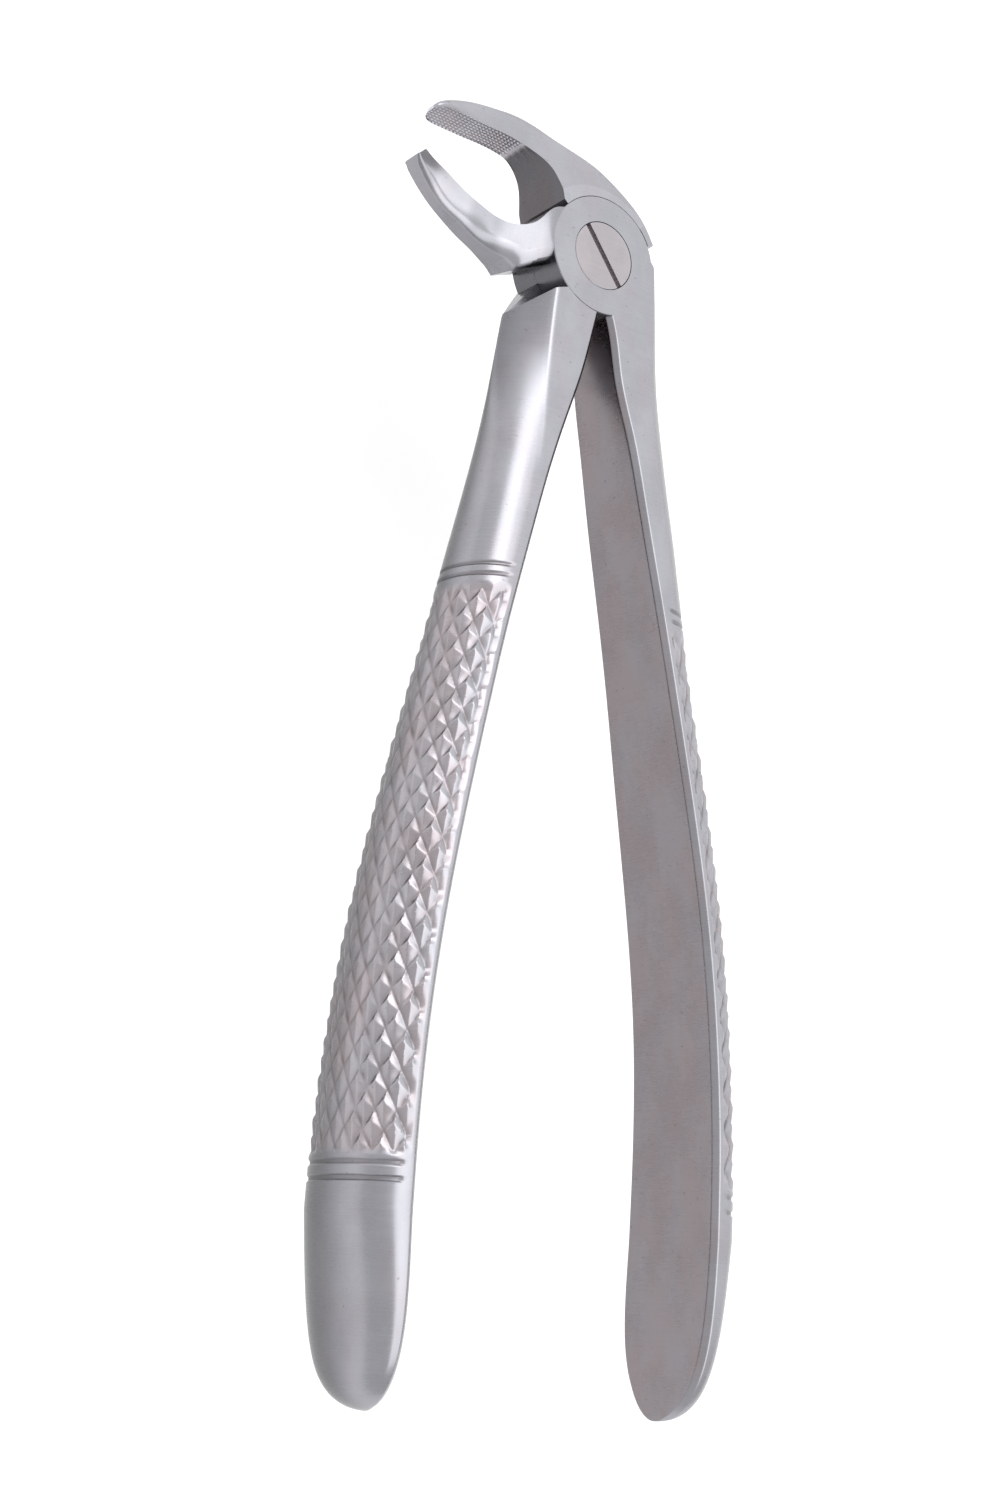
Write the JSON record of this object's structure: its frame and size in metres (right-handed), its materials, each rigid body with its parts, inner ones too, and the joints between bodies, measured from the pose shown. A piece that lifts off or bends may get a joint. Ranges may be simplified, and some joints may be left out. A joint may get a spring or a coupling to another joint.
{
  "type": "extraction forceps",
  "caption": "Hand forceps for drawing lower teeth: two forged halves cross at a slotted screw joint, with down-curved serrated beaks and long diamond-cut bowed handles.",
  "frame": {"origin": "on the hinge axis, at the flat back face of the joint", "axes": "+Z along the hinge axis from the back face to the slotted front face, +Y along the instrument from the handles to the beaks, +X across it on the side the front half's handle opens to; both beaks curve towards -X"},
  "size_m": [0.0556, 0.1589, 0.0176],
  "materials": {
    "forging_steel": "satin, fine cross-brushed",
    "screw_steel": "satin, fine ground"
  },
  "bodies": {
    "back": {"back_half": "forging_steel", "joint_screw": "screw_steel"},
    "front": {"front_half": "forging_steel"}
  },
  "joints": [
    {"name": "jaw_pivot", "type": "hinge", "parent": "back", "child": "front", "pos_m": [0, 0, 0.0048], "axis": [0, 0, 1], "range_deg": [-6, 13.5]}
  ]
}
